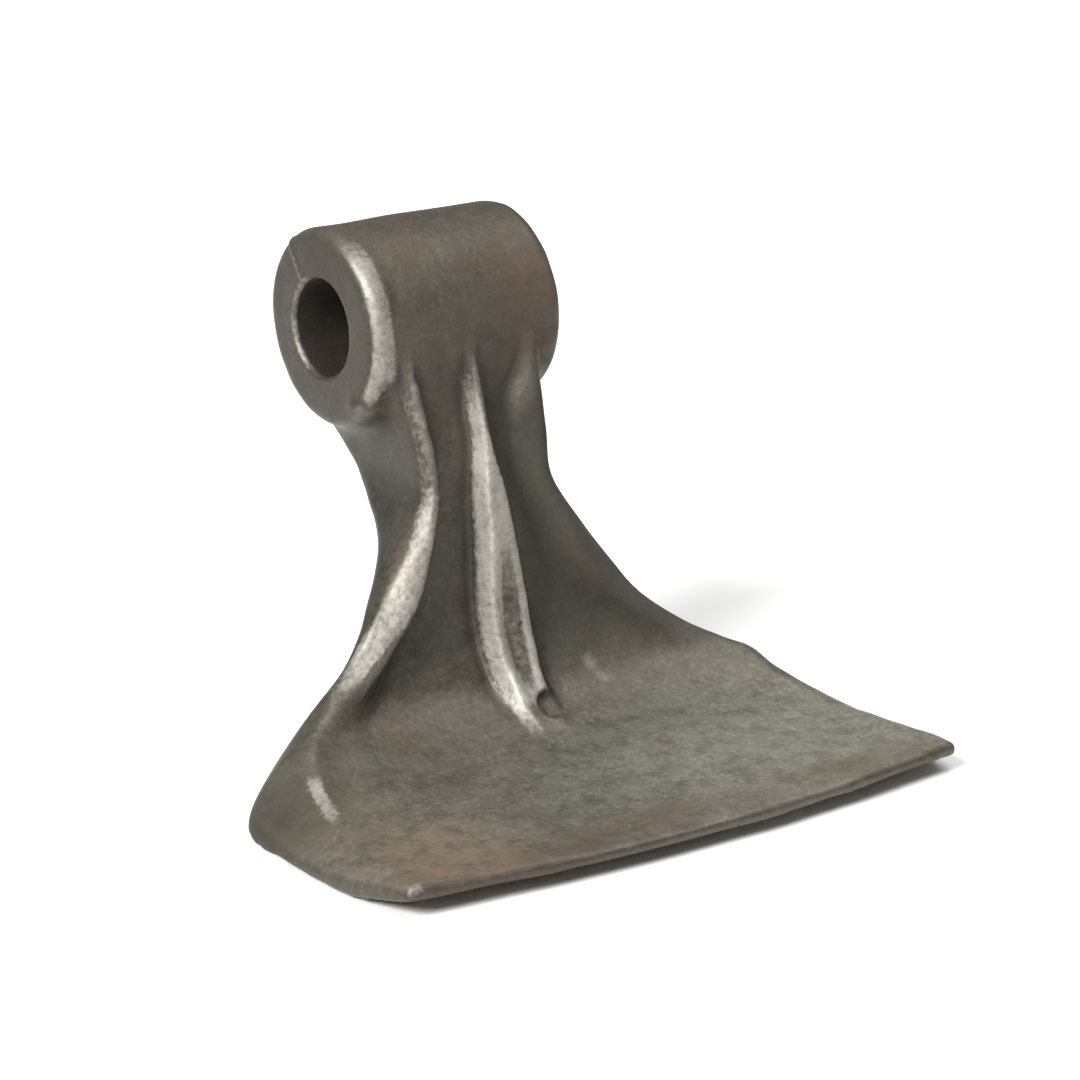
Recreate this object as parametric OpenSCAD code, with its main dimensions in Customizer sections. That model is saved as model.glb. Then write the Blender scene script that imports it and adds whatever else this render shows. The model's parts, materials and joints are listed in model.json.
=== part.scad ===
// Forged hammer flail: a bored eye, a ribbed shank and a wide cutting lip, in one drop forging.
// The origin is the centre of the eye bore. X runs along the bore, -Y points to the cutting
// edge and Z is up when the hammer stands on the underside of its lip.

/* [Eye] */
// Diameter of the bore for the pivot bolt
bore_d = 25.5; // [22:0.5:30]
// Outer diameter of the eye
eye_d = 51.5; // [48:0.5:56]
// Length of the eye along the bore
eye_len = 60; // [50:1:70]
// Rounding of the eye's outer rims
rim_r = 4; // [2:0.5:6]
// Chamfer at both mouths of the bore
mouth_c = 1; // [0.5:0.25:2.5]

/* [Shank] */
// Width of the neck below the eye
neck_w = 39; // [34:1:45]
// Half width of the rib's flat crest at its widest
rib_half_w = 5.5; // [3:0.5:8]
// Width of each sloping flank of the rib
rib_flank = 4; // [3:0.5:5.5]

/* [Lip] */
// Width of the cutting edge
edge_w = 169; // [145:1:190]
// Distance that the side edges bulge past the ends of the cutting edge
side_bulge = 5.5; // [0:0.5:6.5]
// Reach from the bore axis forward to the middle of the cutting edge
reach = 127.5; // [116:0.5:139]
// Height of the bore axis above the underside of the lip
stand_h = 110; // [102:1:118]

/* [Hidden] */
// Facets round the eye and the bore
round_fn = 96;
// Facets across the eye's rounded rims
rim_steps = 5;
// Rings between two stations of the rails
steps_per_station = 6;
// Points across half of the front, from the middle to the flange crest
front_n = 13;
// Last front point that shapes the rib
rib_n = 4;
// How strongly the front points crowd towards the flange
crowding = 1.6;
// How far the bore's cutters reach past the eye's ends
overrun = 1;

// Profile rails, each one [y, z] point per station from inside the eye to the cutting edge,
// at a reach and a standing height of 1.
// Recessed web between the rib and the side flanges
web_rail = [
  [-0.15, -0.05], [-0.218, -0.24], [-0.236, -0.365], [-0.254, -0.49], [-0.273, -0.615],
  [-0.303, -0.735], [-0.366, -0.84], [-0.490, -0.902], [-0.652, -0.922], [-0.826, -0.937], [-1, -0.948]
];
// Crest of the centre rib, which runs out into the lip
rib_rail = [
  [-0.198, -0.02], [-0.262, -0.24], [-0.287, -0.36], [-0.311, -0.48], [-0.328, -0.60], [-0.352, -0.715],
  [-0.408, -0.82], [-0.496, -0.900], [-0.652, -0.922], [-0.826, -0.937], [-1, -0.948]
];
// Crest of each side flange, which becomes the shoulder of the lip
flange_rail = [
  [-0.197, -0.03], [-0.258, -0.24], [-0.281, -0.36], [-0.308, -0.48], [-0.326, -0.60], [-0.342, -0.71],
  [-0.386, -0.806], [-0.487, -0.876], [-0.640, -0.920], [-0.809, -0.931], [-0.948, -0.936]
];
// Upper corner of the side face
side_rail = [
  [-0.07, -0.08], [-0.13, -0.24], [-0.160, -0.36], [-0.250, -0.48], [-0.288, -0.60], [-0.312, -0.715],
  [-0.356, -0.83], [-0.425, -0.954], [-0.626, -0.976], [-0.809, -0.962], [-0.957, -0.940]
];
// Lower corner of the side face
heel_rail = [
  [0.07, -0.08], [0.105, -0.24], [0, -0.36], [-0.165, -0.485], [-0.238, -0.605], [-0.290, -0.72],
  [-0.325, -0.845], [-0.392, -0.994], [-0.600, -1.005], [-0.800, -1.002], [-0.957, -0.962]
];
// Middle of the back and of the underside
back_rail = [
  [0.155, -0.08], [0.130, -0.24], [0.035, -0.36], [-0.070, -0.48], [-0.130, -0.60], [-0.158, -0.72],
  [-0.170, -0.85], [-0.195, -0.985], [-0.435, -0.998], [-0.739, -0.998], [-1, -0.974]
];
// Share of the widening from the neck to the lip that the flange crest has at each station
flare = [0.05, 0.02, 0.02, 0.118, 0.240, 0.435, 0.70, 0.842, 0.912, 0.966, 1];
// Extra half width of the side face beyond the flange crest, at a side bulge of 1
bulge = [0, 0, 0, 0.20, 0.42, 0.10, 0.45, 2.05, 1.95, 1.2, 0.1];
// Distance in millimetres that the lower corner of the side face stands out past the upper one
heel_out = [0, 0, 0, 0, 0, 0, 0.4, 1.2, 1.3, 0.9, 0.4];
// How sharply the web turns up into the flange at each station
turn_up = [6, 6, 6, 7, 7, 6, 4.5, 3, 2, 2, 2];
// Share of the rib's width at each station
rib_share = [0.1, 0.2, 0.36, 0.50, 0.70, 0.76, 0.60, 0.5, 0.5, 0.5, 0.5];

last = len(web_rail) - 1;
ring_count = last * steps_per_station + 1;
half_n = 2 * front_n + 1;
ring_n = 2 * half_n - 2;

// Smooth curve through the points of a rail, at t stations from its start
function along(rail, t) =
  let (i = min(floor(t), last - 1), f = t - i)
  let (a = rail[max(i - 1, 0)], b = rail[i], c = rail[i + 1], d = rail[min(i + 2, last)])
  0.5 * (2 * b + (c - a) * f + (2 * a - 5 * b + 4 * c - d) * f ^ 2 + (3 * b - a - 3 * c + d) * f ^ 3);

// Point of a rail in millimetres, at the half width x
function rail_point(rail, t, x) = let (p = along(rail, t)) [x, p.x * reach, p.y * stand_h];

function crest_x(t) = neck_w / 2 + (edge_w - neck_w) / 2 * along(flare, t);
function side_x(t) = crest_x(t) + side_bulge * along(bulge, t);
function heel_x(t) = side_x(t) + along(heel_out, t);
function rib_x(t) = rib_half_w * along(rib_share, t);

// Half width of front point i: the first ones shape the rib, the rest crowd towards the flange
function front_x(t, i) =
  i <= rib_n
    ? (i == 0 ? 0 : rib_x(t) + rib_flank * (i - 1) / (rib_n - 1))
    : let (foot = rib_x(t) + rib_flank, s = (i - rib_n) / (front_n - 1 - rib_n))
      crest_x(t) - (crest_x(t) - foot) * (1 - s) ^ crowding;

// Share of the rib's height at front point i, from its crest to its foot
function rib_rise(i) = i <= 1 ? 1 : i >= rib_n ? 0 : (1 + cos(180 * (i - 1) / (rib_n - 1))) / 2;

function front_point(t, i) =
  let (x = front_x(t, i), web = rail_point(web_rail, t, x))
  let (up = rail_point(flange_rail, t, x) - web, rib = rail_point(rib_rail, t, x) - web)
  web + up * (x / crest_x(t)) ^ along(turn_up, t) + rib * rib_rise(i);

function back_point(t, i) =
  let (u = front_x(t, i) / crest_x(t), x = u * heel_x(t), mid = rail_point(back_rail, t, x))
  mid + (rail_point(heel_rail, t, x) - mid) * u ^ 2;

// Right half of one ring: front from the middle outwards, side corner, back to the middle
function half_ring(t) = [
  for (i = [0:front_n - 1]) front_point(t, i),
  rail_point(side_rail, t, side_x(t)),
  for (i = [front_n - 1:-1:0]) back_point(t, i)
];

function ring(t) =
  let (half = half_ring(t))
  [for (p = half) p, for (i = [half_n - 2:-1:1]) [-half[i].x, half[i].y, half[i].z]];

// The two triangles of the quad a, b, c, d
function quad(a, b, c, d) = [[a, b, c], [a, c, d]];

// Ring index of the mirror image of point j of the right half
function mirrored(j) = j == half_n - 1 ? j : (ring_n - j) % ring_n;

// Triangles that close the ring starting at point o, turned over when flip is true
function cap(o, flip) =
  let (front = [for (i = [0:front_n - 1]) i], back = [for (i = front) half_n - 1 - i])
  let (tri = concat(
    [for (i = [0:front_n - 2]) each quad(front[i], front[i + 1], back[i + 1], back[i])],
    [for (i = [0:front_n - 2])
      each quad(mirrored(front[i]), mirrored(back[i]), mirrored(back[i + 1]), mirrored(front[i + 1]))],
    [[front_n - 1, front_n, front_n + 1]],
    [[mirrored(front_n + 1), mirrored(front_n), mirrored(front_n - 1)]]
  ))
  [for (f = tri) [for (k = [0:2]) o + f[flip ? 2 - k : k]]];

// Shank and lip as one closed skin of rings
module shank_and_lip() {
  points = [for (k = [0:ring_count - 1]) each ring(k / steps_per_station)];
  walls = [
    for (k = [0:ring_count - 2], i = [0:ring_n - 1])
      let (a = k * ring_n, b = a + ring_n, j = (i + 1) % ring_n)
      each quad(a + i, a + j, b + j, b + i)
  ];
  faces = concat(walls, cap(0, true), cap((ring_count - 1) * ring_n, false));
  polyhedron(points, faces);
}

// Half outline of the eye from its axis out, with rounded rims
module eye_outline() {
  rim_y = eye_len / 2 - rim_r;
  rim_x = eye_d / 2 - rim_r;
  arc = [
    for (k = [0:rim_steps])
      let (a = 90 * k / rim_steps)
      [rim_x + rim_r * cos(a), rim_y + rim_r * sin(a)]
  ];
  polygon(concat(
    [[0, -eye_len / 2]],
    [for (k = [rim_steps:-1:0]) [arc[k].x, -arc[k].y]],
    arc,
    [[0, eye_len / 2]]
  ));
}

module eye() {
  rotate([0, 90, 0]) rotate_extrude($fn = round_fn) eye_outline();
}

module bore() {
  rotate([0, 90, 0]) cylinder(d = bore_d, h = eye_len + 2 * overrun, center = true, $fn = round_fn);
  for (end = [0, 180])
    rotate([0, 90, end])
      translate([0, 0, eye_len / 2 - mouth_c])
        cylinder(d1 = bore_d, d2 = bore_d + 2 * (mouth_c + overrun), h = mouth_c + overrun, $fn = round_fn);
}

module hammer_forging() {
  color("#6b635a")
    difference() {
      union() {
        eye();
        shank_and_lip();
      }
      bore();
    }
}

hammer_forging();
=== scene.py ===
"""Looks of the forged hammer flail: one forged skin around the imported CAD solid, its steel, a pale
floor, soft light and the camera. Shapes are built in millimetres and stored in metres."""
import json
import math
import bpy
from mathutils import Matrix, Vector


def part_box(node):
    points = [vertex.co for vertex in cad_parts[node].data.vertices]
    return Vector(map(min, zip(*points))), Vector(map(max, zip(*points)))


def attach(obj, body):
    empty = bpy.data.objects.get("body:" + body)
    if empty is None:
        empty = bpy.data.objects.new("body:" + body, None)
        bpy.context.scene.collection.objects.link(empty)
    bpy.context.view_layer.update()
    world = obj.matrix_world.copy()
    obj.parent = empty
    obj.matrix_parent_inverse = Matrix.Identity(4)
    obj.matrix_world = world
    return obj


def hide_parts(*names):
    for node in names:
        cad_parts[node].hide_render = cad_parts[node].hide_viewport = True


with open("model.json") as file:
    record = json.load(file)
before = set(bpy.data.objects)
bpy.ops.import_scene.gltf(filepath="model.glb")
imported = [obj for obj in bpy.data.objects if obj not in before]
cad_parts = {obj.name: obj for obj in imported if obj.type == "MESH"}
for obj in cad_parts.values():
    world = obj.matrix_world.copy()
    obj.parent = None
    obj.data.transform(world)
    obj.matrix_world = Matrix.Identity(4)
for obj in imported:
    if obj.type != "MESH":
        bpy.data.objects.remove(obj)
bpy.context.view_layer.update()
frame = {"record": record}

from types import SimpleNamespace

import bpy
import numpy as np
import openvdb as vdb
from mathutils import Vector, kdtree

MM = 0.001
NODE = "hammer_forging"

# Sizes that come from the frame, in millimetres
node_lo, node_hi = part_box(NODE)
mounts = {m["name"]: m for m in frame["record"]["mounts"]}
BORE_R = mounts["eye_bore"]["dims"]["r_mm"]
EYE_R = node_hi.z / MM
EYE_HALF = mounts["eye_right_face"]["pos_m"][0] / MM
REACH = -node_lo.y / MM
# The heel dips this much lower than the underside's nominal height
HEEL_DIP = 1.009
STAND = -node_lo.z / MM / HEEL_DIP

# Eye: rounding of its rims, chamfer of the bore's mouths, how far it is out of round, and the
# direction of the forging's parting plane in Y and Z
RIM_R = 4.0
MOUTH_C = 1.0
OVAL = 0.5
PARTING = (0.6, 0.8)

# Shank and lip
NECK_W = 39.0
EDGE_W = 169.0
SIDE_BULGE = 5.5
RIB_HALF_W = 5.6
# Left and right differ a little: width of the bead's inner slope, and the rib's share of its width
LEFT = {"bead_step": 2.0, "rib_part": 1.0}
RIGHT = {"bead_step": 9.0, "rib_part": 1.35}

# Small rises and dips of the flange's crest: station, spread in stations and height
CREST_BUMPS = [(5.65, 0.30, -0.9), (6.5, 0.35, 1.6), (9.45, 0.35, 0.6)]

# Raised parting line
LINE_W = 0.8
LINE_H = 0.35
# Burr on the left rim and the groove behind it, each with its distance from the eye's end and its
# width, and the angles round the eye over which the burr rises and fades
BURR_H = 0.55
BURR_AT = 3
BURR_W = 2.4
GROOVE_AT = 9
GROOVE_W = 2
BURR_FROM = (-75, -30)
BURR_TO = (36, 48)
# Lump of flash under the left rim
LUMP_AT = (-26.0, -16.5, -18.5)
LUMP_STRETCH = (1.2, 1.0, 0.8)
LUMP_R = 3.6
# Round recess that the ejector pin leaves at the rib's foot
PIN_AT = (4.6, -54.2, -95.9)
PIN_AXIS = (0.10, -0.60, 0.79)
PIN_R = 4.5
# Dents in the left bead, each a station and a radius
NICKS = [(1.55, 1.6), (1.8, 2.2), (2.05, 1.8), (2.5, 2.0), (3.3, 1.6), (4.2, 1.8)]

# Finish of the shape: waves as length and height, rounding of the outer edges, and the fillets
# where the shank, its ridges and the lump meet the eye
WAVES = [(46, 0.08), (31, 0.07), (19, 0.06), (13, 0.05), (9, 0.04)]
EDGE_ROUND = 0.9
EYE_FILLET = 9.0
RIDGE_FILLET = 3.0
LUMP_FILLET = 3.0
CUT_SOFT = 0.6
# The distance grid, and how far it reaches outside and inside the surface
VOXEL = 0.65
OUTER_BAND = 14.0
INNER_BAND = 4.5
MARGIN = 4
MOST_TRIANGLES = 190000
# Rings along the shank, and points across half of a ring's front, side face and back
STATIONS = 241
FRONT_N = 150
SIDE_N = 16
BACK_N = 90
# Passes of smoothing that find what stands out of the surface, and that soften the result
WEAR_PASSES = 14
SOFTEN_PASSES = 3

# Profile rails, one [y, z] point per station from inside the eye to the cutting edge, at a reach
# and a standing height of 1: the web, the rib's crest, the flange's crest, the two corners of the
# side face and the middle of the back
PROFILE = {
    "web": [[-0.15, -0.05], [-0.218, -0.24], [-0.236, -0.365], [-0.254, -0.49], [-0.273, -0.615],
            [-0.303, -0.735], [-0.366, -0.84], [-0.490, -0.902], [-0.652, -0.922], [-0.826, -0.937],
            [-1, -0.948]],
    "rib": [[-0.204, -0.02], [-0.262, -0.24], [-0.287, -0.36], [-0.311, -0.48], [-0.328, -0.60],
            [-0.352, -0.715], [-0.408, -0.82], [-0.496, -0.900], [-0.652, -0.922],
            [-0.826, -0.937], [-1, -0.948]],
    "flange": [[-0.204, -0.03], [-0.258, -0.24], [-0.281, -0.36], [-0.308, -0.48], [-0.326, -0.60],
               [-0.342, -0.71], [-0.386, -0.806], [-0.487, -0.876], [-0.640, -0.920],
               [-0.809, -0.931], [-0.948, -0.936]],
    "side": [[-0.07, -0.08], [-0.13, -0.24], [-0.160, -0.36], [-0.250, -0.48], [-0.288, -0.60],
             [-0.312, -0.715], [-0.356, -0.83], [-0.425, -0.954], [-0.626, -0.976],
             [-0.809, -0.962], [-0.957, -0.940]],
    "heel": [[0.07, -0.08], [0.105, -0.24], [0, -0.36], [-0.165, -0.485], [-0.238, -0.605],
             [-0.290, -0.72], [-0.325, -0.845], [-0.392, -0.994], [-0.600, -1.005], [-0.800, -1.002],
             [-0.957, -0.962]],
    "back": [[0.155, -0.08], [0.130, -0.24], [0.035, -0.36], [-0.070, -0.48], [-0.130, -0.60],
             [-0.158, -0.72], [-0.170, -0.85], [-0.195, -0.985], [-0.435, -0.998],
             [-0.739, -0.998], [-1, -0.974]],
}
LAST_STATION = len(PROFILE["web"]) - 1
# Other values at the stations. Shares of a full size: the widening from neck to lip, the side
# bulge, the rib's width and how far the bead leans out. The sharpness of the lip's turned up
# sides. Millimetres: the heel beyond the side corner, the widths of the rib's flank and of the
# bead, the dish of the rib's top, and the reach of each rounding.
ALONG = {
    "flare": [0.05, 0.02, 0.02, 0.118, 0.240, 0.435, 0.70, 0.842, 0.912, 0.966, 0.99],
    "bulge": [0, 0, 0, 0.20, 0.42, 0.10, 0.45, 2.05, 1.95, 1.2, 0.25],
    "rib_share": [0.02, 0.06, 0.36, 0.50, 0.70, 0.76, 0.60, 0.5, 0.5, 0.5, 0.5],
    "lean": [0.3, 0.25, 0.3, 0.38, 0.7, 0.9, 0.5, 0, 0, 0, 0],
    "turn_up": [6, 6, 6, 7, 7, 6, 4.5, 3, 2, 2, 2],
    "heel_out": [0, 0, 0, 0, 0, 0, 0.4, 1.2, 1.3, 0.9, 0.4],
    "flank": [3, 3, 3.2, 3.4, 3.6, 3.8, 4.4, 5, 5, 5, 5],
    "bead_w": [3.4, 3.6, 3.6, 5.0, 6.8, 7.6, 8, 8, 8, 8, 8],
    "rib_dish": [0, 0, 0, 0.2, 0.7, 1.0, 0.7, 0, 0, 0, 0],
    "crest_in": [1.5, 1.5, 1.8, 2.2, 2.6, 2.6, 3, 3, 3, 3, 2],
    "crest_out": [4, 4, 4, 4, 4, 4, 4, 4, 4, 4, 2],
    "side_soft": [3, 3, 3, 3, 3, 2.5, 1.5, 1.0, 1.0, 1.0, 1],
    "heel_soft": [6, 6, 6, 6, 5, 5, 4, 3, 2.5, 2, 1],
}


# ---------------------------------------------------------------- shape of the forging

def smooth(v, lo, hi):
    """Smooth step of v from 0 at lo to 1 at hi."""
    f = np.clip((v - lo) / (hi - lo), 0, 1)
    return f * f * (3 - 2 * f)


def along(rail, t):
    """Smooth curve through a rail's points, at t stations from its start."""
    points = np.array(rail, float)
    last = len(points) - 1
    i = np.minimum(np.floor(t).astype(int), last - 1)
    f = t - i
    if points.ndim == 2:
        f = f[:, None]
    a, b, c, d = (points[np.clip(i + k, 0, last)] for k in (-1, 0, 1, 2))
    return 0.5 * (2 * b + (c - a) * f + (2 * a - 5 * b + 4 * c - d) * f ** 2
                  + (3 * b - a - 3 * c + d) * f ** 3)


def round_corner(line, k, before, after):
    """Rounds the corner at point k of a polyline, from that far before it to that far after."""
    step = np.linalg.norm(np.diff(line, axis=0), axis=1)
    s = np.concatenate([[0], np.cumsum(step)])
    lo, hi = s[k] - before, s[k] + after
    near = (s > lo) & (s < hi)
    start, end = (np.array([np.interp(v, s, line[:, c]) for c in range(3)]) for v in (lo, hi))
    f = ((s[near] - lo) / (hi - lo))[:, None]
    line[near] = (1 - f) ** 2 * start + 2 * f * (1 - f) * line[k] + f ** 2 * end


def values_at(t):
    """Every rail and width at the stations t, in millimetres."""
    v = {name: along(rail, t) * (REACH, STAND) for name, rail in PROFILE.items()}
    v.update({name: along(rail, t) for name, rail in ALONG.items()})
    for at, spread, height in CREST_BUMPS:
        rise = height * np.exp(-((t - at) / spread) ** 2)
        v["flange"][:, 1] += rise
        v["side"][:, 1] += 0.7 * rise
    v["crest_x"] = NECK_W / 2 + (EDGE_W - NECK_W) / 2 * v["flare"]
    v["side_x"] = v["crest_x"] + SIDE_BULGE * v["bulge"]
    v["heel_x"] = v["side_x"] + v["heel_out"]
    v["rib_x"] = RIB_HALF_W * v["rib_share"]
    v["in_lip"] = smooth(t, 4.9, 6.5)
    v["step_out"] = 9 * smooth(t, 4.8, 6.0)
    v["t"] = t
    return v


def front_line(v, ridges, bead_step, rib_part):
    """Half of a ring's front, from the middle to the flange's crest."""
    x = np.linspace(0, 1, FRONT_N) * v["crest_x"]
    inner = v["crest_x"] - v["bead_w"]
    bead = smooth(x, inner - bead_step - v["step_out"], inner) * (1 - v["in_lip"])
    lean = np.clip((x - inner) / v["bead_w"], 0, 1) ** 1.7 * v["lean"] * (1 - v["in_lip"])
    dish = (x / v["crest_x"]) ** v["turn_up"] * v["in_lip"]
    rib_x = v["rib_x"] * rib_part
    flank = np.clip((x - rib_x) / v["flank"], 0, 1)
    rise = 1 - 0.5 * flank - 0.5 * smooth(flank, 0, 1)
    hollow = v["rib_dish"] * (1 - smooth(x, rib_x - 2.4, rib_x))
    yz = np.repeat(v["web"][None], FRONT_N, 0) + dish[:, None] * (v["flange"] - v["web"])
    if ridges:
        yz += bead[:, None] * (v["flange"] - v["web"]) + lean[:, None] * (v["side"] - v["flange"])
        yz += rise[:, None] * (v["rib"] - v["web"]) + hollow[:, None] * (0.9, -0.4)
    return np.column_stack([x, yz])


def half_ring(v, ridges, side):
    """Half of a ring: the front, the side face and the back to the middle."""
    front = front_line(v, ridges, **side)
    f = np.linspace(0, 1, SIDE_N + 1)[1:, None]
    corner = np.array([v["side_x"], *v["side"]])
    foot = np.array([v["heel_x"], *v["heel"]])
    u = np.linspace(1, 0, BACK_N)[1:, None]
    rear = v["back"] + (v["heel"] - v["back"]) * u ** 2
    line = np.vstack([front, front[-1] + (corner - front[-1]) * f, corner + (foot - corner) * f,
                      np.column_stack([u * v["heel_x"], rear])])
    crest_i, side_i, heel_i = (FRONT_N - 1 + m * SIDE_N for m in range(3))
    upper_room = np.linalg.norm(line[side_i] - line[crest_i])
    lower_room = np.linalg.norm(line[heel_i] - line[side_i])
    side_reach = min(v["side_soft"], 0.4 * upper_room, 0.49 * lower_room)
    heel_reach = min(v["heel_soft"], 0.49 * lower_room)
    round_corner(line, side_i, side_reach, side_reach)
    round_corner(line, heel_i, heel_reach, heel_reach)
    round_corner(line, crest_i, v["crest_in"], min(v["crest_out"], 0.6 * upper_room))
    return line


def shank_rings(ridges=True):
    """Rings of the shank and lip, an array of stations x points x 3, in millimetres."""
    values = values_at(np.linspace(0, LAST_STATION, STATIONS))
    rings = []
    for k in range(STATIONS):
        here = {name: value[k] for name, value in values.items()}
        right, left = (half_ring(here, ridges, side) for side in (RIGHT, LEFT))
        rings.append(np.vstack([right, left[-2:0:-1] * (-1, 1, 1)]))
    return np.array(rings)


def shank_mesh(ridges):
    """Points and quads of the closed shank and lip, with or without its rib and beads."""
    rings = shank_rings(ridges)
    count, n, _ = rings.shape
    k, i = np.meshgrid(np.arange(count - 1), np.arange(n), indexing="ij")
    a, b = k * n + i, k * n + (i + 1) % n
    walls = np.stack([a, b, b + n, a + n], -1).reshape(-1, 4)
    # each end is closed by strips between its front and its back, which are sampled alike
    caps = []
    half = n // 2 + 1
    front_i = np.round(np.linspace(0, FRONT_N - 1, BACK_N)).astype(int)
    back_i = half - 1 - np.arange(BACK_N)
    rim_i = np.arange(FRONT_N - 1, half - BACK_N + 1)
    for start in (0, (count - 1) * n):
        for sign in (1, -1):
            f, r, rim = (start + (sign * i) % n for i in (front_i, back_i, rim_i))
            caps += [[f[j], f[j + 1], r[j + 1], r[j]] for j in range(BACK_N - 1)]
            caps += [[rim[0], rim[j], rim[j + 1], rim[j + 1]] for j in range(1, len(rim) - 1)]
    return rings.reshape(-1, 3), np.vstack([walls, np.array(caps)])


def level_set(points, quads):
    """Distance grid of a closed mesh, in millimetres, positive outside."""
    return vdb.FloatGrid.createLevelSetFromPolygons(
        (points / VOXEL).astype(np.float32), quads=quads.astype(np.uint32),
        exBandWidth=OUTER_BAND / VOXEL, inBandWidth=INNER_BAND / VOXEL)


def softened(grid, radius):
    """The grid's solid with its outer edges rounded to that radius."""
    points, quads = grid.convertToQuads(-radius / VOXEL)
    return level_set(points * VOXEL, quads)


def blend_union(a, b, size):
    """Union of two distance fields with a fillet of about that size."""
    h = np.maximum(size - np.abs(a - b), 0) / size
    return np.minimum(a, b) - h * h * size / 4


def soft_cut(a, b, size):
    """Field a with solid b cut out of it, with the new edge softened over that size."""
    h = np.maximum(size - np.abs(a + b), 0) / size
    return np.maximum(a, -b) + h * h * size / 4


def front_angle(y, z):
    """Angle round the eye in degrees, from 0 at its front to 90 at its underside."""
    return np.degrees(np.arctan2(-z, -y))


def eye_field(x, y, z):
    """Distance to the eye without its bore: a cylinder along X with rounded rims, a little oval
    along the forging's parting plane, with the parting line and a ragged burr on its left rim."""
    r = np.sqrt(y * y + z * z)
    split = (y * PARTING[0] + z * PARTING[1]) / np.maximum(r, 0.1)
    line = np.exp(-((z * PARTING[0] - y * PARTING[1]) / LINE_W) ** 2) * (split > 0)
    turn = front_angle(y, z)
    burr = smooth(turn, *BURR_FROM) * (1 - smooth(turn, *BURR_TO))
    ragged = 0.7 + 0.2 * np.sin(np.radians(9 * turn)) + 0.1 * np.sin(np.radians(23 * turn + 40))
    ring = np.exp(-((x + EYE_HALF - BURR_AT) / BURR_W) ** 2)
    ring = ring - 0.5 * np.exp(-((x + EYE_HALF - GROOVE_AT) / GROOVE_W) ** 2)
    radius = EYE_R - OVAL + OVAL * 2 * split ** 2 + LINE_H * line + BURR_H * burr * ragged * ring
    a = r - (radius - RIM_R)
    b = np.abs(x) - (EYE_HALF - RIM_R + LINE_H * line)
    outside = np.sqrt(np.maximum(a, 0) ** 2 + np.maximum(b, 0) ** 2)
    return outside + np.minimum(np.maximum(a, b), 0) - RIM_R


def bore_field(x, y, z):
    """Distance to the bore and the chamfers at its two mouths, negative in the hole."""
    r = np.sqrt(y * y + z * z)
    wall = r - BORE_R
    mouth = (r - BORE_R - MOUTH_C + EYE_HALF - np.abs(x)) / math.sqrt(2)
    return np.minimum(wall, mouth)


def pin_field(x, y, z):
    """Distance to the ejector pin's imprint, a short cylinder whose floor is at PIN_AT."""
    dx, dy, dz = x - PIN_AT[0], y - PIN_AT[1], z - PIN_AT[2]
    depth = dx * PIN_AXIS[0] + dy * PIN_AXIS[1] + dz * PIN_AXIS[2]
    r = np.sqrt(np.maximum(dx * dx + dy * dy + dz * dz - depth * depth, 0))
    return np.maximum(r - PIN_R, -depth)


def lump_field(x, y, z):
    """Distance to the rough lump of flash under the left rim."""
    dx, dy, dz = ((v - c) / s for v, c, s in zip((x, y, z), LUMP_AT, LUMP_STRETCH))
    return np.sqrt(dx * dx + dy * dy + dz * dz) - LUMP_R


def nick_field(x, y, z):
    """Distance to the dents knocked into the left bead's inner edge."""
    v = values_at(np.array([at for at, _ in NICKS]))
    field = np.full(np.broadcast_shapes(x.shape, y.shape, z.shape), OUTER_BAND, np.float32)
    for k, (_, radius) in enumerate(NICKS):
        edge_x = -(v["crest_x"][k] - v["bead_w"][k])
        edge_y, edge_z = v["flange"][k]
        out = 0.75 * radius
        cx, cy, cz = edge_x + 0.4 * out, edge_y - 0.9 * out, edge_z
        ball = np.sqrt((x - cx) ** 2 + (y - cy) ** 2 + (z - cz) ** 2) - radius
        field = np.minimum(field, ball)
    return field


def unevenness(x, y, z):
    """Waviness of a hammered surface in millimetres: a sum of sine waves in seeded directions."""
    rng = np.random.default_rng(5)
    total = 0.0
    for length, height in WAVES:
        way = rng.normal(size=3)
        way *= 2 * math.pi / length / np.linalg.norm(way)
        total = total + height * np.sin(x * way[0] + y * way[1] + z * way[2] + rng.uniform(0, 6))
    return total


def shank_field(ridges, lo, shape):
    """Dense distance field of the shank and lip."""
    body = softened(level_set(*shank_mesh(ridges)), EDGE_ROUND)
    field = np.zeros(shape, np.float32)
    body.copyToArray(field, ijk=tuple(int(v) for v in lo))
    return field * VOXEL - EDGE_ROUND


def forged_field():
    """The whole forging as a dense distance field. Returns it with its first voxel's index."""
    lo = np.floor((np.array(node_lo) / MM - MARGIN) / VOXEL).astype(int)
    hi = np.ceil((np.array(node_hi) / MM + MARGIN) / VOXEL).astype(int)
    x, y, z = (np.arange(lo[c], hi[c] + 1, dtype=np.float32).reshape(
        [-1 if c == d else 1 for d in range(3)]) * VOXEL for c in range(3))
    eye = eye_field(x, y, z).astype(np.float32)
    # the plain shank meets the eye in a broad fillet, and the rib and beads rise out of it
    field = np.minimum(blend_union(shank_field(False, lo, hi - lo + 1), eye, EYE_FILLET),
                       blend_union(shank_field(True, lo, hi - lo + 1), eye, RIDGE_FILLET))
    field = blend_union(field, lump_field(x, y, z).astype(np.float32), LUMP_FILLET)
    field = soft_cut(field, pin_field(x, y, z), CUT_SOFT)
    field = soft_cut(field, nick_field(x, y, z), CUT_SOFT)
    machined = smooth(np.sqrt(y * y + z * z), BORE_R + 1, BORE_R + 6)
    field = field + (unevenness(x, y, z) * machined).astype(np.float32)
    field = np.maximum(field, -bore_field(x, y, z))
    return field.astype(np.float32), lo


def forged_mesh():
    """Points in millimetres and quads of the forging's skin."""
    field, lo = forged_field()
    grid = vdb.FloatGrid(float(OUTER_BAND))
    grid.copyFromArray(field, ijk=tuple(int(v) for v in lo))
    points, quads = grid.convertToQuads(0.0)
    return points.astype(float) * VOXEL, quads.astype(int)


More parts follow.
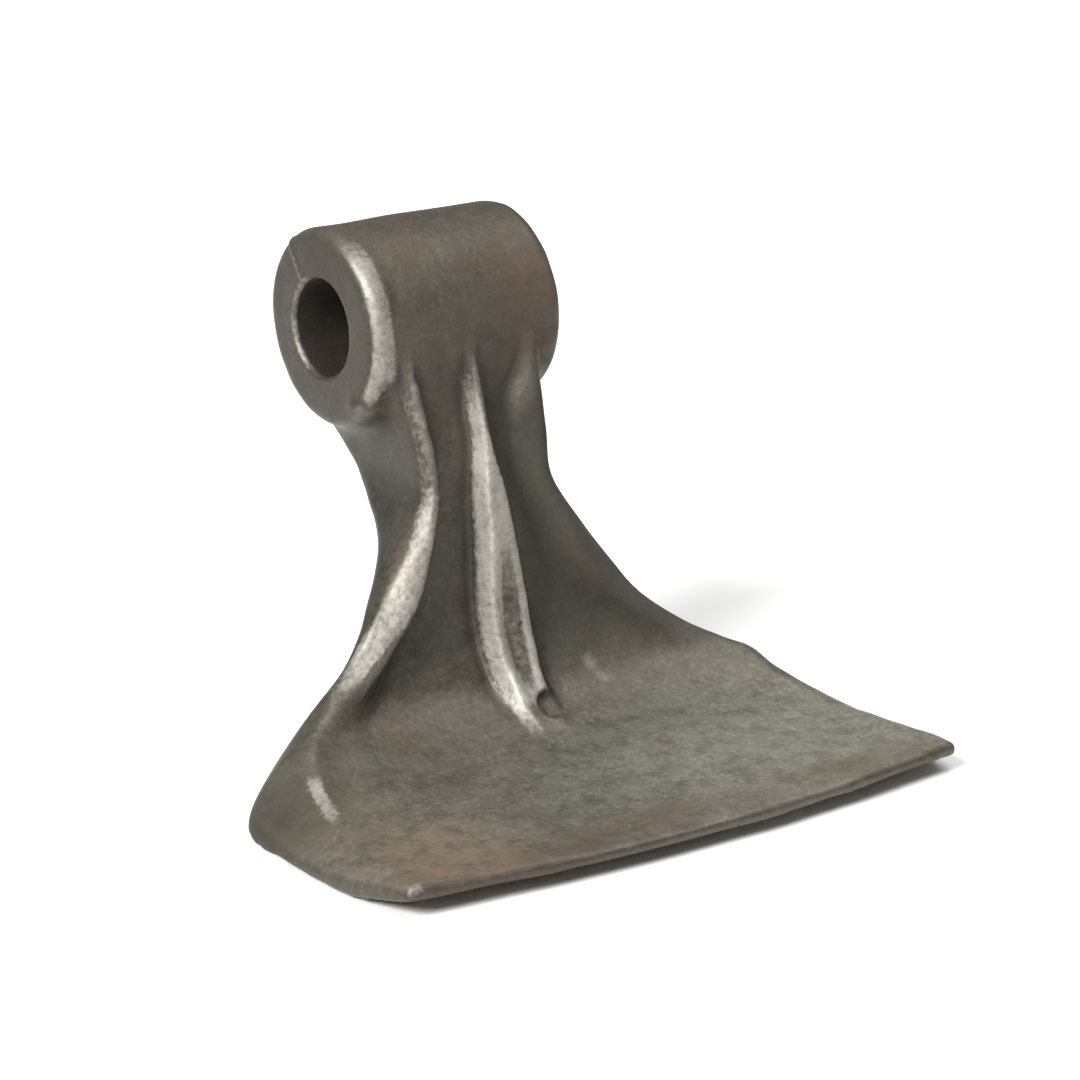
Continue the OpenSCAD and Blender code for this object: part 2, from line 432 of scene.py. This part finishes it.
def neighbour_mean(values, edges, degree):
    """Mean of each point's neighbours."""
    out = np.empty_like(values)
    for c in range(values.shape[1]):
        column = values[:, c]
        total = np.bincount(edges[:, 0], column[edges[:, 1]], len(values))
        total += np.bincount(edges[:, 1], column[edges[:, 0]], len(values))
        out[:, c] = total / degree
    return out


def skin_object():
    """The forging's skin, thinned where it is flat, with how far it stands out, its rubbing and
    painted highlight, and where it gets painted side shade stored.
    """
    points, quads = forged_mesh()
    if signed_volume(points, quads) < 0:
        quads = quads[:, ::-1]
    mesh = bpy.data.meshes.new("forged_skin")
    mesh.from_pydata((points * MM).tolist(), [], quads.tolist())
    mesh.update()
    add_edge_wear(mesh, points)
    skin = bpy.data.objects.new("forged_skin", mesh)
    bpy.context.scene.collection.objects.link(skin)
    thin_out(skin)
    add_rubbing_and_highlight(skin.data)
    skin.data.shade_smooth()
    print("skin", len(quads), "quads,", len(skin.data.polygons), "faces kept")
    return skin


def thin_out(skin):
    """Merges faces of the skin where it is flat, down to MOST_TRIANGLES triangles."""
    thinner = skin.modifiers.new("thinner", "DECIMATE")
    thinner.ratio = min(1.0, MOST_TRIANGLES / (2 * len(skin.data.polygons)))
    depsgraph = bpy.context.evaluated_depsgraph_get()
    thinned = bpy.data.meshes.new_from_object(skin.evaluated_get(depsgraph))
    skin.modifiers.clear()
    skin.data = thinned
    thinned.name = "forged_skin"


def signed_volume(points, quads):
    """Volume inside the quads, negative when they face inwards."""
    a, b, c, d = (points[quads[:, k]] for k in range(4))
    return (np.einsum("ij,ij->", a, np.cross(b, c)) + np.einsum("ij,ij->", a, np.cross(c, d))) / 6


def vertex_rows(mesh, name):
    """The mesh's vertex places ("co") or normals ("normal"), one row for each vertex."""
    flat = np.zeros(len(mesh.vertices) * 3, np.float32)
    mesh.vertices.foreach_get(name, flat)
    return flat.reshape(-1, 3)


def store(mesh, name, values):
    """Stores one number for each vertex, which the steel's material reads."""
    attribute = mesh.attributes.new(name, "FLOAT", "POINT")
    attribute.data.foreach_set("value", values.astype(np.float32))


def add_edge_wear(mesh, points):
    """Stores how far each point stands out of its surroundings, in millimetres, as "edge". What
    rubs is the front, so backs, the bore's mouth and the right flange keep more of their scale."""
    edges = np.zeros(len(mesh.edges) * 2, np.int32)
    mesh.edges.foreach_get("vertices", edges)
    edges = edges.reshape(-1, 2)
    degree = np.bincount(edges.ravel(), minlength=len(points))
    smoothed = points.copy()
    for _ in range(WEAR_PASSES):
        smoothed = neighbour_mean(smoothed, edges, degree)
    normals = vertex_rows(mesh, "normal")
    out = np.einsum("ij,ij->i", points - smoothed, normals)
    x, y, z = points.T
    out *= smooth(-normals[:, 1], -0.3, 0.4)
    out *= 0.15 + 0.85 * smooth(np.hypot(y, z), BORE_R + 2, BORE_R + 5)
    out *= 1 - 0.65 * smooth(x, 10, 20)
    out *= 1 - 0.6 * smooth(-y, 0.75 * REACH, 0.95 * REACH)
    out = out[:, None]
    for _ in range(SOFTEN_PASSES):
        out = neighbour_mean(out, edges, degree)
    store(mesh, "edge", out[:, 0])


def window(v, start, full, end, gone):
    """1 between full and end, falling smoothly to 0 at start and at gone."""
    return smooth(v, start, full) * (1 - smooth(v, end, gone))


def rib_rubbing_and_highlight(t, past_rim):
    """The rib, whose flat top turns grey between bright rims below the neck. The bright parts are
    partly rubbing and partly painted highlight. past_rim is the distance in millimetres outwards
    from the rim of the flat top."""
    top = 1 - smooth(past_rim, -0.2, 0.5)
    rim = window(past_rim, -2.6, -1.8, 1.3, 2.6)
    grey_top = smooth(t, 2.6, 4.0) * (1 - smooth(t, 5.8, 6.2))
    across = np.maximum(top * (1 - 0.62 * grey_top), rim * smooth(t, 1.5, 3))
    return window(t, 0.1, 0.9, 6.1, 6.6) * across


def flank_rubbing_and_highlight(v, past_rim):
    """The rib's left flank, which faces the key light, down to the nose where the rib runs out into
    the lip. Its brightness is partly rubbing and partly painted highlight.
    """
    t = v["t"]
    flank = window(past_rim, -0.4, 0.3, 0.55 * v["flank"], 0.9 * v["flank"])
    return flank * window(t, 0.1, 0.9, 6.5, 7.15) * (1 - 0.25 * smooth(t, 5.6, 6.4))


def bead_rubbing_and_highlight(v, x):
    """The left bead, whose bright part starts further out below the neck; the bright part is partly
    rubbing and partly painted highlight.
    """
    t = v["t"]
    start = v["crest_x"] - v["bead_w"] + 4.0 * smooth(t, 3.4, 5.2)
    strength = (0.36 + 0.40 * smooth(t, 1.7, 2.8)) * window(t, 0.1, 0.7, 4.9, 5.8)
    return strength * smooth(x, start - 1.3, start - 0.2)


def shoulder_rubbing_and_highlight(v, x):
    """A bright streak on the lip's left shoulder, and the corner at the end of the cutting edge,
    partly rubbing and partly painted highlight.
    """
    t = v["t"]
    shoulder = smooth(x, v["crest_x"] - 3.5, v["crest_x"] - 1.5)
    return shoulder * (0.85 * window(t, 6.75, 7.1, 7.4, 8.1) + 0.7 * smooth(t, 9.75, 9.9))


def ring_rubbing_and_highlight(side):
    """How bright the front of each ring is from rubbing and painted highlight, stations x front
    points, from 0 to 1. Side is -1 on the left, which faces the key light and is brightest, and 1
    on the right, where only the rib is bright."""
    values = values_at(np.linspace(0, LAST_STATION, STATIONS))
    v = {name: value[:, None] for name, value in values.items() if value.ndim == 1}
    x = np.linspace(0, 1, FRONT_N)[None] * v["crest_x"]
    past_rim = x - v["rib_x"] * (RIGHT if side > 0 else LEFT)["rib_part"]
    rib = rib_rubbing_and_highlight(v["t"], past_rim)
    if side > 0:
        return rib
    # The left side faces the key light: its bright bands are rubbing and painted highlight
    return np.max([bead_rubbing_and_highlight(v, x), rib, flank_rubbing_and_highlight(v, past_rim), shoulder_rubbing_and_highlight(v, x)], axis=0)


def eye_rubbing_and_highlight(x, y, z):
    """How bright the eye's left end is from rubbing and painted highlight: a crescent on the front
    of its rim, partly rubbing and partly a painted highlight of the key light, the parting line,
    and the rear of the bore's mouth, whose chamfer gets a painted highlight."""
    r = np.hypot(y, z)
    over = np.degrees(np.arctan2(r - (EYE_R - RIM_R), -(x + EYE_HALF - RIM_R)))
    turn = front_angle(y, z)
    near_rim = window(r, EYE_R - RIM_R - 1, EYE_R - RIM_R, EYE_R + 0.6, EYE_R + 1.2) * (x < 0)
    # Crescent on the rim's front: partly rubbing, partly painted highlight of the key light
    crescent = window(over, 15, 42, 106, 134) * near_rim * window(turn, -85, -45, 34, 44)
    at_end = x < -EYE_HALF + 0.6
    off_line = np.abs(z * PARTING[0] - y * PARTING[1])
    line = at_end * window(y, 6, 8, 14, 16) * (1 - smooth(off_line, 0.2, 0.8))
    # Painted highlight on the chamfer at the rear of the bore's mouth
    mouth = (x < -EYE_HALF + 1.3) * window(r, BORE_R - 0.5, BORE_R, BORE_R + 1.0, BORE_R + 1.8)
    mouth = mouth * smooth(y, 2, 8)
    return np.max([0.85 * crescent, 0.5 * line, 0.5 * mouth], axis=0)


def half_rubbing_and_highlight(rings, side):
    """Points of the front and side face on one side of the rings, and how bright each one is from
    rubbing and painted highlight. The front's outermost value fades out over the crest onto the
    side face."""
    half = rings[:, (side * np.arange(FRONT_N + SIDE_N)) % rings.shape[1]]
    front = ring_rubbing_and_highlight(side)
    past_crest = np.linalg.norm(half[:, FRONT_N:] - half[:, FRONT_N - 1:FRONT_N], axis=2)
    below_eye = smooth(np.linspace(0, LAST_STATION, STATIONS), 1.8, 2.6)[:, None]
    beyond = front[:, -1:] * (1 - smooth(past_crest, 0.8, 2.6)) * below_eye
    return half.reshape(-1, 3), np.hstack([front, beyond]).ravel()


def add_rubbing_and_highlight(mesh):
    """Stores how bright each point is from rubbing and painted highlight as "rub", taken from the
    nearest point of the rings, and how far it faces left as "side", which the steel uses for
    painted shade."""
    rings = shank_rings()
    points = vertex_rows(mesh, "co") / MM
    rub = eye_rubbing_and_highlight(*points.T)
    for side in (-1, 1):
        places, amount = half_rubbing_and_highlight(rings, side)
        tree = kdtree.KDTree(len(places))
        for k, place in enumerate(places):
            tree.insert(place, k)
        tree.balance()
        for i in np.flatnonzero((points[:, 0] * side >= 0) & (points[:, 2] < -2)):
            _, k, far = tree.find(points[i])
            rub[i] = max(rub[i], amount[k] * max(0.0, 1.0 - max(0.0, far - 1.2)))
    # Rubbing together with painted highlight on what faces the key light
    store(mesh, "rub", rub)
    # How far each point faces left, for the painted shade on faces turned to the left
    store(mesh, "side", smooth(-vertex_rows(mesh, "normal")[:, 0], 0.55, 0.95))


# ---------------------------------------------------------------- steel

class Nodes:
    """Short calls for building one node tree."""

    def __init__(self, tree):
        self.tree = tree

    def put(self, socket, value):
        """Links a socket to the input, or sets the input to a number or colour."""
        if isinstance(value, bpy.types.NodeSocket):
            self.tree.links.new(value, socket)
        elif hasattr(value, "__len__") and len(value) == 3 and socket.type == "RGBA":
            socket.default_value = (*value, 1)
        else:
            socket.default_value = value

    def add(self, kind, inputs=(), **settings):
        """New node with these inputs and settings."""
        node = self.tree.nodes.new(kind)
        for key, value in settings.items():
            setattr(node, key, value)
        for key, value in dict(inputs).items():
            self.put(node.inputs[key], value)
        return node

    def noise(self, where, size, detail=3.0, rough=0.55, warp=0.0):
        """Noise with features about size metres across, from 0 to 1."""
        node = self.add("ShaderNodeTexNoise", {
            "Vector": where, "Scale": 1 / size, "Detail": detail, "Roughness": rough,
            "Distortion": warp})
        return node.outputs["Fac"]

    def ramp(self, value, lo, hi, to_lo=0.0, to_hi=1.0):
        """value from lo to hi becomes to_lo to to_hi, smoothly."""
        node = self.add("ShaderNodeMapRange", {
            "Value": value, "From Min": lo, "From Max": hi, "To Min": to_lo, "To Max": to_hi},
            interpolation_type="SMOOTHSTEP")
        return node.outputs["Result"]

    def math(self, operation, a, b=0.0):
        node = self.add("ShaderNodeMath", {0: a, 1: b}, operation=operation)
        return node.outputs[0]

    def times(self, product, *factors):
        """Product of sockets or numbers."""
        for factor in factors:
            product = self.math("MULTIPLY", product, factor)
        return product

    def near(self, where, place, reach):
        """1 at the place, falling smoothly to 0 at that many metres from it."""
        node = self.add("ShaderNodeVectorMath", {0: where}, operation="DISTANCE")
        node.inputs[1].default_value = place
        return self.ramp(node.outputs["Value"], reach, 0.0)

    def mix(self, share, a, b):
        """Colour a, with that share of colour b."""
        node = self.add("ShaderNodeMix", {0: share, 6: a, 7: b}, data_type="RGBA")
        return node.outputs[2]

    def blend(self, share, a, b):
        """Number a, with that share of number b."""
        node = self.add("ShaderNodeMix", {0: share, 2: a, 3: b}, data_type="FLOAT")
        return node.outputs[0]


# How far the cutting edge falls back towards its ends, per metre of half width squared
EDGE_BOW = 0.0066 / 0.0837 ** 2
# Colours of the steel's surface; some are painted shade and painted shadow, and the bright metal
# colour also serves as painted highlight
STEEL = {
    "scale": (0.070, 0.063, 0.048),
    "light scale": (0.100, 0.091, 0.071),
    "brown": (0.090, 0.070, 0.050),
    "grey": (0.080, 0.082, 0.070),
    "rust": (0.120, 0.076, 0.046),
    "pale grain": (0.17, 0.157, 0.13),
    "dust": (0.27, 0.262, 0.215),
    "pale dust": (0.34, 0.33, 0.28),
    "edge band": (0.135, 0.098, 0.068),
    # Painted shadow of the rib on the right side of the neck
    "neck rib shadow": (0.036, 0.032, 0.023),
    # Darker along the front of the cutting edge
    "cut front": (0.036, 0.030, 0.023),
    # Painted shade on faces turned to the left
    "side shade": (0.022, 0.020, 0.016),
    "hollow scale": (0.032, 0.028, 0.022),
    "dark grain": (0.040, 0.034, 0.028),
    # Painted shade in the bore
    "bore shade": (0.045, 0.037, 0.030),
    # Bright worn metal, also used as painted highlight
    "rubbed_and_highlight": (0.32, 0.30, 0.267),
}
# Patches of rust, of darker scale and of chipped scale, and patches of painted shade on the left
# side facet and of painted rib shadow on the right of the neck: place and reach in metres, colour
# and strength
PATCHES = [
    ((-0.066, -0.108, -0.103), 0.034, (0.140, 0.084, 0.043), 0.75),
    ((-0.080, -0.075, -0.100), 0.030, (0.110, 0.075, 0.045), 0.6),
    ((0.020, -0.022, 0.006), 0.022, (0.125, 0.070, 0.042), 0.7),
    ((-0.024, -0.040, -0.052), 0.014, (0.130, 0.085, 0.045), 0.6),
    ((-0.026, -0.018, -0.021), 0.008, (0.045, 0.040, 0.026), 0.9),
    ((-0.030, 0.000, 0.020), 0.026, (0.040, 0.034, 0.024), 0.75),
    ((0.004, -0.026, -0.006), 0.040, (0.042, 0.033, 0.025), 0.75),
    # Painted shadow of the rib on the right of the neck
    ((0.019, -0.033, -0.034), 0.024, (0.030, 0.028, 0.020), 0.8),
    # Painted shade on the left side facet
    ((-0.088, -0.068, -0.100), 0.027, (0.036, 0.030, 0.021), 0.9),
    ((-0.082, -0.060, -0.102), 0.022, (0.032, 0.026, 0.018), 1.0),
    # Painted shadow of the rib on the upper right of the neck
    ((0.013, -0.034, -0.024), 0.021, (0.026, 0.023, 0.017), 0.85),
    ((0.020, -0.024, 0.000), 0.024, (0.050, 0.038, 0.028), 0.5),
    ((0.0246, -0.0440, -0.0899), 0.0032, (0.30, 0.285, 0.25), 0.7),
    ((0.0266, -0.0478, -0.0931), 0.0038, (0.30, 0.285, 0.25), 0.7),
]


def steel_fields(n):
    """What the steel is made from: the place in metres, the numbers stored on the skin
    for edges, for rubbing with painted highlight and for painted side shade, and four noises.
    """
    where = n.add("ShaderNodeTexCoord").outputs["Object"]
    x, y, z = n.add("ShaderNodeSeparateXYZ", {0: where}).outputs
    edge, rub, side = (n.add("ShaderNodeAttribute", attribute_name=name).outputs["Fac"]
                       for name in ("edge", "rub", "side"))
    return SimpleNamespace(
        where=where, x=x, y=y, z=z, edge=edge, rub=rub, side=side,
        patches=n.noise(where, 0.034, 3, 0.5, 0.3), mottle=n.noise(where, 0.006, 4, 0.6, 0.2),
        grain=n.noise(where, 0.0015, 4, 0.65), tint=n.noise(where, 0.022, 3, 0.5, 0.5))


def scale_colour(n, f):
    """Grey-brown scale with brown, grey and rusty tints and a pale grain."""
    colour = n.mix(n.ramp(f.mottle, 0.25, 0.75), STEEL["scale"], STEEL["light scale"])
    brown = n.times(n.ramp(f.z, -0.040, 0.0), n.ramp(f.mottle, 0.2, 0.8, 0.4, 0.9))
    colour = n.mix(brown, colour, STEEL["brown"])
    colour = n.mix(n.ramp(f.patches, 0.45, 0.7, 0, 0.4), colour, STEEL["grey"])
    colour = n.mix(n.ramp(f.tint, 0.55, 0.75, 0, 0.45), colour, STEEL["rust"])
    return n.mix(n.ramp(f.grain, 0.45, 0.75, 0, 0.35), colour, STEEL["pale grain"])


def dusty_lip(n, f, colour):
    """Pale dust on the lip, more towards the cutting edge and on the right wing, and a brown band
    just behind the cutting edge."""
    low = n.times(n.ramp(f.z, -0.085, -0.097), n.ramp(f.y, -0.050, -0.092, 0.15, 1.0))
    right = n.ramp(f.x, -0.050, 0.060, 0.3, 1.0)
    dust = n.times(low, right, n.ramp(f.mottle, 0.2, 0.6, 0.6, 1))
    colour = n.mix(n.times(dust, 0.75), colour, STEEL["dust"])
    pale = n.times(n.ramp(f.grain, 0.48, 0.68), n.times(dust, 0.5))
    colour = n.mix(pale, colour, STEEL["pale dust"])
    band = n.times(n.ramp(f.y, -0.108, -0.116), n.ramp(f.patches, 0.35, 0.6, 0.15, 0.65))
    return n.mix(band, colour, STEEL["edge band"])


def patched(n, f, colour):
    """Adds the patches, some of them painted shade, and the painted shadow of the rib on the right
    side of the neck. Returns the colour and how dull the surface is."""
    dull = 0.0
    for place, reach, patch, share in PATCHES:
        near = n.near(f.where, place, reach)
        near = n.times(near, n.ramp(f.mottle, 0.25, 0.7, 0.3 * share, share))
        colour = n.mix(near, colour, patch)
        dull = n.math("MAXIMUM", dull, near)
    # Painted shadow of the rib over the right side of the neck and web
    shade = n.times(n.ramp(f.x, 0.006, 0.020), n.ramp(f.z, -0.014, -0.024))
    shade = n.times(shade, n.ramp(f.z, -0.098, -0.078))
    colour = n.mix(n.times(shade, 0.62), colour, STEEL["neck rib shadow"])
    return colour, n.math("MAXIMUM", dull, n.times(shade, 0.7))


def dark_scale_and_painted_shade(n, f, colour):
    """Darker along the front of the cutting edge; painted shade on faces turned sideways to the
    left and in the bore; dark scale left in hollows and a dark grain.
    """
    bow = n.times(f.x, f.x, EDGE_BOW)
    behind = n.math("SUBTRACT", n.math("ADD", f.y, REACH * MM), bow)
    # Darker along the front of the cutting edge
    colour = n.mix(n.ramp(behind, 0.0014, 0.0004, 0, 0.6), colour, STEEL["cut front"])
    # Painted shade on faces turned to the left
    colour = n.mix(n.times(f.side, 0.52), colour, STEEL["side shade"])
    colour = n.mix(n.ramp(f.edge, -0.03, -0.20, 0, 0.5), colour, STEEL["hollow scale"])
    colour = n.mix(n.ramp(f.grain, 0.40, 0.25, 0, 0.5), colour, STEEL["dark grain"])
    # Painted shade inside the bore
    radius = n.math("SQRT", n.math("ADD", n.times(f.y, f.y), n.times(f.z, f.z)))
    return n.mix(n.ramp(radius, 0.0134, 0.0129, 0, 0.85), colour, STEEL["bore shade"])


def wear_and_highlight_share(n, f):
    """Share of metal worn bright, together with the painted highlight carried by the rubbing mask,
    broken up by the scale that is left.
    """
    noise = n.math("ADD", n.times(n.math("SUBTRACT", f.mottle, 0.5), 0.7),
                   n.times(n.math("SUBTRACT", f.grain, 0.5), 1.1))
    broken = n.math("ADD", f.rub, n.times(noise, n.ramp(f.rub, 0.0, 0.4)))
    worn_and_lit = n.ramp(broken, 0.1, 1.25, 0, 1.0)
    corners = n.ramp(n.math("ADD", f.edge, n.times(noise, 0.2)), 0.16, 0.40)
    corners = n.times(corners, n.ramp(f.z, -0.092, -0.100, 0.2, 0.1))
    return n.math("MAXIMUM", worn_and_lit, corners)


def forged_steel():
    """Dark scaled forging steel: brown and grey tints, light rust, pale dust, edges worn bright with
    painted highlight, and painted shade.
    """
    material = bpy.data.materials.new("forged_steel_scale")
    material.use_nodes = True
    material.node_tree.nodes.clear()
    n = Nodes(material.node_tree)
    f = steel_fields(n)
    colour, dull = patched(n, f, dusty_lip(n, f, scale_colour(n, f)))
    # Share of bright metal: worn edges and painted highlight
    wear = wear_and_highlight_share(n, f)
    colour = n.mix(wear, dark_scale_and_painted_shade(n, f, colour), STEEL["rubbed_and_highlight"])
    rough = n.math("ADD", n.ramp(f.mottle, 0.3, 0.7, 0.42, 0.54), n.times(dull, 0.5))
    metal = n.times(n.math("SUBTRACT", 1.0, dull), 0.6)
    height = n.math("ADD", n.times(f.mottle, 0.45), n.times(f.grain, 0.22))
    bump = n.add("ShaderNodeBump", {"Strength": 0.6, "Distance": 0.0008, "Height": height})
    surface = n.add("ShaderNodeBsdfPrincipled", {
        "Base Color": colour, "Metallic": n.blend(wear, metal, 0.45),
        "Roughness": n.blend(wear, rough, 0.52), "Normal": bump.outputs["Normal"]})
    n.add("ShaderNodeOutputMaterial", {"Surface": surface.outputs[0]})
    return material


# ---------------------------------------------------------------- floor, light and camera

# Half of the floor's width, in metres
FLOOR_HALF = 6.0
# Camera: what it aims at and how far away it is, in metres, its angles in degrees and its lens
AIM = Vector((0.0160, -0.0336, -0.0574))
DISTANCE = 1.0367
AZIMUTH = -35.97
ELEVATION = 17.26
LENS = 131.4


def pale_floor(skin):
    """A wide plain floor that touches the skin's lowest point."""
    size = FLOOR_HALF
    z = min(vertex.co.z for vertex in skin.data.vertices)
    mesh = bpy.data.meshes.new("floor")
    mesh.from_pydata([(-size, -size, z), (size, -size, z), (size, size, z), (-size, size, z)],
                     [], [(0, 1, 2, 3)])
    floor = bpy.data.objects.new("floor", mesh)
    bpy.context.scene.collection.objects.link(floor)
    material = bpy.data.materials.new("pale_floor")
    material.use_nodes = True
    shader = material.node_tree.nodes["Principled BSDF"]
    shader.inputs["Base Color"].default_value = (0.86, 0.86, 0.85, 1)
    shader.inputs["Roughness"].default_value = 0.8
    mesh.materials.append(material)


def direction(azimuth, elevation):
    a, e = math.radians(azimuth), math.radians(elevation)
    return Vector((math.sin(a) * math.cos(e), -math.cos(a) * math.cos(e), math.sin(e)))


def sun(name, azimuth, elevation, strength, angle):
    """A white sun from that direction, softer with a larger angle."""
    light = bpy.data.lights.new(name, "SUN")
    light.energy = strength
    light.angle = math.radians(angle)
    lamp = bpy.data.objects.new(name, light)
    lamp.rotation_mode = "QUATERNION"
    lamp.rotation_quaternion = direction(azimuth, elevation).to_track_quat("Z", "Y")
    bpy.context.scene.collection.objects.link(lamp)


def studio():
    """A large soft key light from the left, a weaker one from above, and a pale surround."""
    scene = bpy.context.scene
    sun("key", -75, 38, 5.0, 26)
    sun("top", 60, 80, 2.0, 60)
    world = bpy.data.worlds.new("studio")
    scene.world = world
    world.use_nodes = True
    back = world.node_tree.nodes["Background"]
    back.inputs["Color"].default_value = (1, 1, 1, 1)
    back.inputs["Strength"].default_value = 0.26
    scene.view_settings.view_transform = "Standard"


def photo_camera():
    """Camera at the viewing angle of the photograph."""
    camera = bpy.data.cameras.new("camera")
    camera.lens = LENS
    camera.sensor_width = 36
    camera.clip_start, camera.clip_end = 0.01, 50
    back = direction(AZIMUTH, ELEVATION)
    placed = bpy.data.objects.new("camera", camera)
    placed.location = AIM + back * DISTANCE
    placed.rotation_mode = "QUATERNION"
    placed.rotation_quaternion = back.to_track_quat("Z", "Y")
    bpy.context.scene.collection.objects.link(placed)
    bpy.context.scene.camera = placed


# ---------------------------------------------------------------- scene

skin = skin_object()
skin.data.materials.append(forged_steel())
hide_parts(NODE)
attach(skin, "root")
pale_floor(skin)
studio()
photo_camera()
